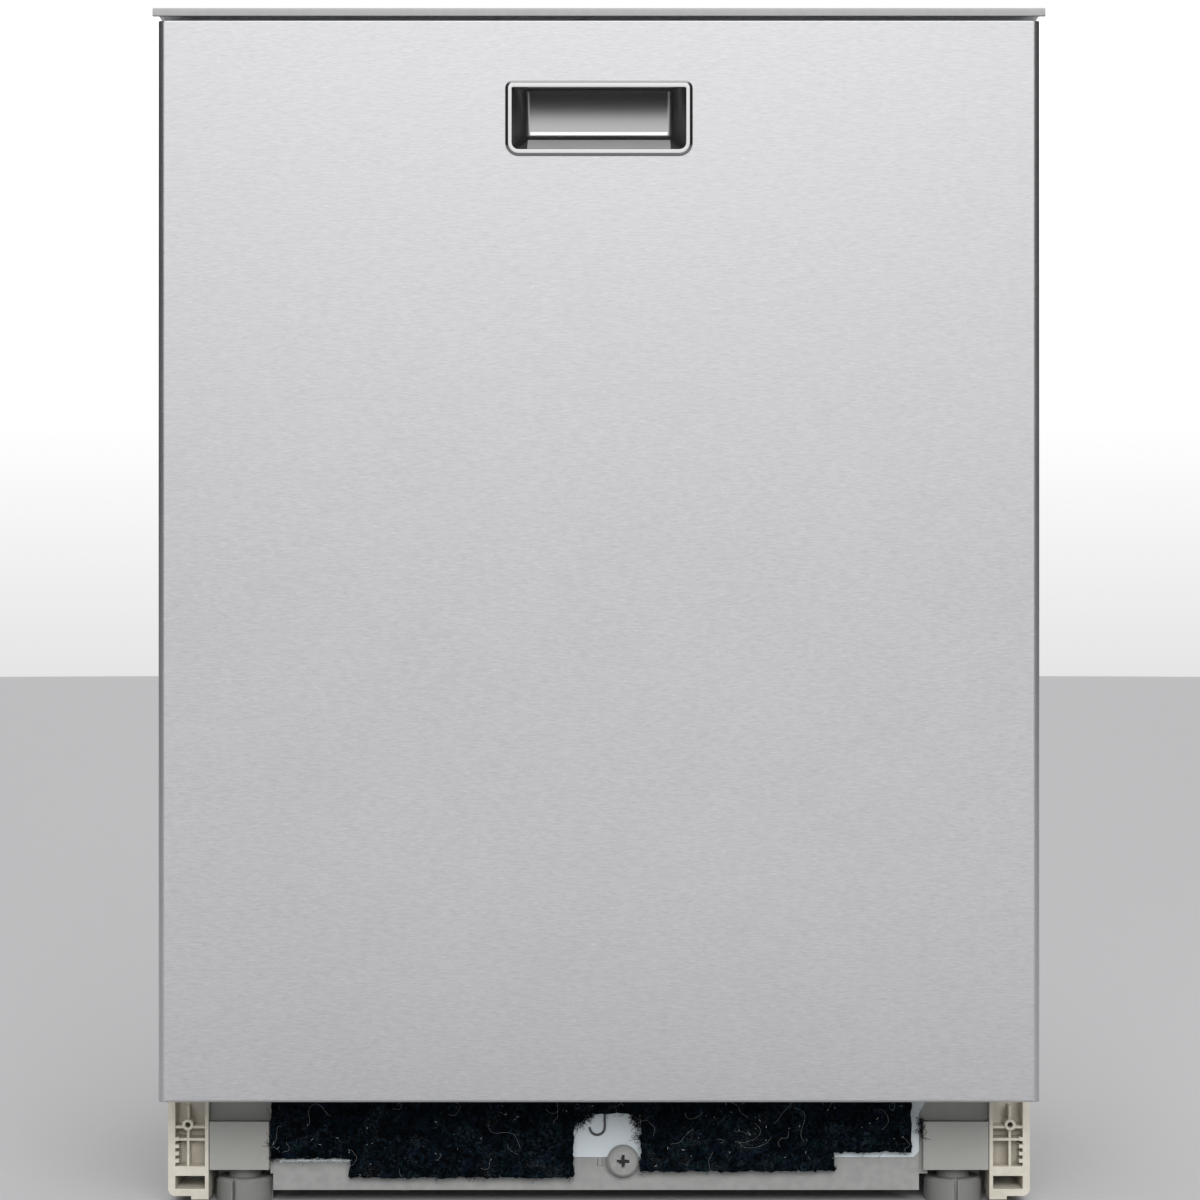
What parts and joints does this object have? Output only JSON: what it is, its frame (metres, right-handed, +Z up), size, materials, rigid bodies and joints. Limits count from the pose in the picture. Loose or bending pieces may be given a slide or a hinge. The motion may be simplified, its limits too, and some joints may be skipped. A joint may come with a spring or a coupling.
{
  "type": "built in dishwasher",
  "caption": "Built-in dishwasher with a drop-down brushed-steel door, a pocket handle, pull-out racks, spray arms and levelling feet.",
  "frame": {"origin": "on the floor under the middle of the overall box", "axes": "+Z up, -Y is the front with the door, +X to the right of someone facing the door"},
  "size_m": [0.598, 0.57, 0.815],
  "materials": {
    "door_steel": "fine horizontal brushing",
    "inner_steel": "satin",
    "trim_steel": "fine brushing, bright folded edge",
    "handle_silver": "silver lacquer with a polished rim",
    "ivory_plastic": "moulded",
    "base_grey": "moulded",
    "foot_grey": "moulded",
    "white_paint": "satin white",
    "grey_paint": "satin grey",
    "felt": "recycled fibre felt",
    "rubber_black": "moulded",
    "black_plastic": "fine texture",
    "window_black": "clear dark window",
    "zinc_steel": "zinc plated",
    "rack_coating": "coated wire",
    "grey_plastic": "moulded",
    "white_plastic": "moulded",
    "dark_wire": "blackened wire"
  },
  "bodies": {
    "cabinet": {"top_trim": "trim_steel", "tub": "inner_steel", "tub_floor": "inner_steel", "door_gasket": "rubber_black", "sound_blanket": "felt", "latch_strike": "zinc_steel", "hinge_brackets": "zinc_steel", "door_springs": "zinc_steel", "sump": "grey_plastic", "filter_plate": "inner_steel", "feed_tube": "grey_plastic", "circulation_pump": "black_plastic", "drain_pump": "white_plastic", "inlet_valve": "white_plastic", "drain_outlet": "grey_plastic", "cable_gland": "black_plastic", "base_tray": "base_grey", "leg_bracket_left": "ivory_plastic", "leg_bracket_right": "ivory_plastic", "lower_cover_plate": "grey_paint", "white_cover_plate": "white_paint", "kick_felt": "felt", "felt_hook": "dark_wire", "rear_foot_gearbox": "grey_plastic", "rail_guides": "grey_plastic"},
    "door": {"door_panel": "door_steel", "handle_pocket": "handle_silver", "door_liner": "inner_steel", "liner_screws": "zinc_steel", "lower_door_seal": "rubber_black", "console": "black_plastic", "display_window": "window_black", "control_board": "black_plastic", "dispenser_body": "grey_plastic", "hinge_arms": "zinc_steel"},
    "latch_lever": {"latch_lever": "white_plastic"},
    "dispenser_lid": {"dispenser_lid": "grey_plastic"},
    "rinse_aid_cap": {"rinse_aid_cap": "black_plastic"},
    "lower_rack": {"lower_rack_wires": "rack_coating", "wheel_brackets": "grey_plastic", "cutlery_basket": "grey_plastic"},
    "front_wheels": {"front_wheels": "grey_plastic"},
    "rear_wheels": {"rear_wheels": "grey_plastic"},
    "rails": {"rack_rails": "inner_steel"},
    "upper_rack": {"upper_rack_wires": "rack_coating", "upper_rack_hangers": "grey_plastic", "spray_manifold": "grey_plastic"},
    "upper_spray_arm": {"upper_spray_arm": "grey_plastic"},
    "lower_spray_arm": {"lower_spray_arm": "grey_plastic"},
    "filter_cup": {"filter_cup": "white_plastic"},
    "overfill_float": {"overfill_float": "white_plastic"},
    "front_foot_left": {"front_foot_left": "foot_grey"},
    "front_foot_right": {"front_foot_right": "foot_grey"},
    "adjuster_spindle": {"adjuster_spindle": "grey_paint"},
    "rear_foot": {"rear_foot": "foot_grey"},
    "power_button": {"power_button": "black_plastic"},
    "program_button": {"program_button": "black_plastic"},
    "option_button": {"option_button": "black_plastic"},
    "start_button": {"start_button": "black_plastic"}
  },
  "joints": [
    {"name": "door_hinge", "type": "hinge", "parent": "cabinet", "child": "door", "pos_m": [0, -0.2555, 0.107], "axis": [1, 0, 0], "range_deg": [0, 90], "stiffness_Nm_per_rad": 17, "deforming": ["door_springs"]},
    {"name": "latch_lift", "type": "hinge", "parent": "door", "child": "latch_lever", "pos_m": [0, -0.2595, 0.7914], "axis": [1, 0, 0], "range_deg": [0, 12], "stiffness_Nm_per_rad": 0.4, "springref_deg": -5.73},
    {"name": "lid_slide", "type": "slide", "parent": "door", "child": "dispenser_lid", "axis": [1, 0, 0], "range_m": [0, 0.08]},
    {"name": "rinse_cap_turn", "type": "hinge", "parent": "door", "child": "rinse_aid_cap", "pos_m": [0.026, -0.2425, 0.47], "axis": [0, 1, 0], "range_deg": [0, 90]},
    {"name": "rails_slide", "type": "slide", "parent": "cabinet", "child": "rails", "axis": [0, -1, 0], "range_m": [0, 0.21]},
    {"name": "upper_rack_slide", "type": "slide", "parent": "rails", "child": "upper_rack", "axis": [0, -1, 0], "range_m": [0, 0.21]},
    {"name": "upper_arm_spin", "type": "hinge", "parent": "upper_rack", "child": "upper_spray_arm", "pos_m": [0, 0.01675, 0.445], "axis": [0, 0, 1], "continuous": true},
    {"name": "lower_rack_slide", "type": "slide", "parent": "cabinet", "child": "lower_rack", "axis": [0, -1, 0], "range_m": [0, 0.09]},
    {"name": "front_wheels_roll", "type": "hinge", "parent": "lower_rack", "child": "front_wheels", "pos_m": [0, -0.1605, 0.1435], "axis": [1, 0, 0], "range_deg": [0, 286.49]},
    {"name": "rear_wheels_roll", "type": "hinge", "parent": "lower_rack", "child": "rear_wheels", "pos_m": [0, 0.1838, 0.1435], "axis": [1, 0, 0], "range_deg": [0, 286.49]},
    {"name": "lower_arm_spin", "type": "hinge", "parent": "cabinet", "child": "lower_spray_arm", "pos_m": [0, 0.01675, 0.13], "axis": [0, 0, 1], "continuous": true},
    {"name": "filter_twist", "type": "hinge", "parent": "cabinet", "child": "filter_cup", "pos_m": [0.046, 0.01675, 0.111], "axis": [0, 0, 1], "range_deg": [0, 90]},
    {"name": "float_lift", "type": "slide", "parent": "cabinet", "child": "overfill_float", "axis": [0, 0, 1], "range_m": [0, 0.008]},
    {"name": "front_foot_left_turn", "type": "hinge", "parent": "cabinet", "child": "front_foot_left", "pos_m": [-0.247, -0.1895, 0], "axis": [0, 0, 1], "continuous": true},
    {"name": "front_foot_right_turn", "type": "hinge", "parent": "cabinet", "child": "front_foot_right", "pos_m": [0.247, -0.1895, 0], "axis": [0, 0, 1], "continuous": true},
    {"name": "adjuster_turn", "type": "hinge", "parent": "cabinet", "child": "adjuster_spindle", "pos_m": [0.0166, -0.2035, 0.0295], "axis": [0, 1, 0], "continuous": true},
    {"name": "rear_foot_turn", "type": "hinge", "parent": "cabinet", "child": "rear_foot", "pos_m": [0, 0.232, 0], "axis": [0, 0, 1], "continuous": true},
    {"name": "power_press", "type": "slide", "parent": "door", "child": "power_button", "axis": [0, 0, -1], "range_m": [0, 0.0015], "stiffness_N_per_m": 900},
    {"name": "program_press", "type": "slide", "parent": "door", "child": "program_button", "axis": [0, 0, -1], "range_m": [0, 0.0015], "stiffness_N_per_m": 900},
    {"name": "option_press", "type": "slide", "parent": "door", "child": "option_button", "axis": [0, 0, -1], "range_m": [0, 0.0015], "stiffness_N_per_m": 900},
    {"name": "start_press", "type": "slide", "parent": "door", "child": "start_button", "axis": [0, 0, -1], "range_m": [0, 0.0015], "stiffness_N_per_m": 900}
  ],
  "couplings": [
    {"joint": "rails_slide", "follows": "door_hinge", "m_per_rad": 0.13369},
    {"joint": "upper_rack_slide", "follows": "door_hinge", "m_per_rad": 0.13369},
    {"joint": "lower_rack_slide", "follows": "door_hinge", "m_per_rad": 0.057296},
    {"joint": "front_wheels_roll", "follows": "door_hinge", "ratio": 3.1831},
    {"joint": "rear_wheels_roll", "follows": "door_hinge", "ratio": 3.1831},
    {"joint": "rear_foot_turn", "follows": "adjuster_turn", "ratio": 0.083333}
  ]
}
